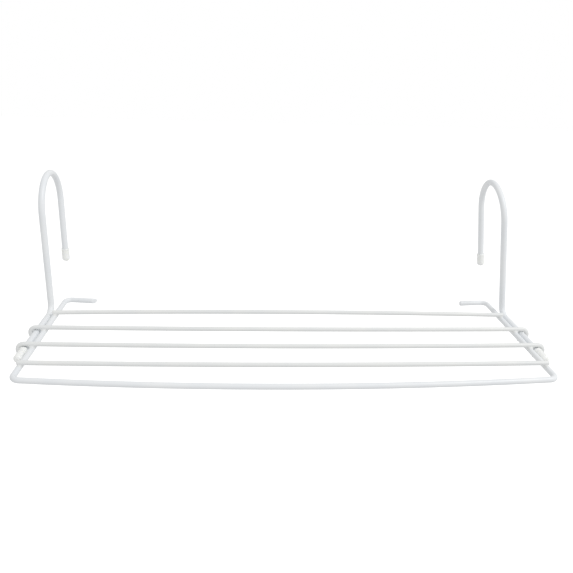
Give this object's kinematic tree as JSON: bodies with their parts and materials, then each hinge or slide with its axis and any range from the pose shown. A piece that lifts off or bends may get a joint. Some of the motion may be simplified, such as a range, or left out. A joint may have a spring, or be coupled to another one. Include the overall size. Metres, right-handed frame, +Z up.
{
  "type": "hook-over drying rack",
  "caption": "Hook-over drying rack of white coated wire: a U-shaped frame with cross wires and two hook rods that slide and turn in wire eyes.",
  "frame": {"origin": "half-way between the two hooks, under the middle of their crowns and at the height of the inner top of an upright hook, where the rack hangs on a rail", "axes": "+X along the cross wires to the right, +Y back towards the rail that the rack hangs on, +Z up"},
  "size_m": [0.526, 0.2524, 0.1578],
  "materials": {
    "coated_wire": "steel wire dipped in white plastic, semi-gloss",
    "coated_cross_wire": "thinner steel wire dipped in the same white plastic",
    "cap": "milky white moulded polyethylene"
  },
  "bodies": {
    "rack": {"front_rail": "coated_wire", "left_side_rail": "coated_wire", "right_side_rail": "coated_wire", "cross_wire_front": "coated_cross_wire", "eyed_wire_front": "coated_cross_wire", "eyed_wire_rear": "coated_cross_wire", "cross_wire_rear": "coated_cross_wire"},
    "left_rod_stop": {"left_rod_end_cap": "cap"},
    "left_hook": {"left_hook_rod": "coated_wire", "left_hook_tip_cap": "cap"},
    "right_rod_stop": {"right_rod_end_cap": "cap"},
    "right_hook": {"right_hook_rod": "coated_wire", "right_hook_tip_cap": "cap"}
  },
  "joints": [
    {"name": "left_hook_slide", "type": "slide", "parent": "rack", "child": "left_rod_stop", "axis": [0, -1, 0], "range_m": [0, 0.04]},
    {"name": "left_hook_turn", "type": "hinge", "parent": "left_rod_stop", "child": "left_hook", "pos_m": [-0.2547, -0.1355, -0.1427], "axis": [0, 1, 0], "range_deg": [-215, 20]},
    {"name": "right_hook_slide", "type": "slide", "parent": "rack", "child": "right_rod_stop", "axis": [0, -1, 0], "range_m": [0, 0.04]},
    {"name": "right_hook_turn", "type": "hinge", "parent": "right_rod_stop", "child": "right_hook", "pos_m": [0.2547, -0.1355, -0.1427], "axis": [0, 1, 0], "range_deg": [-13, 222]}
  ]
}
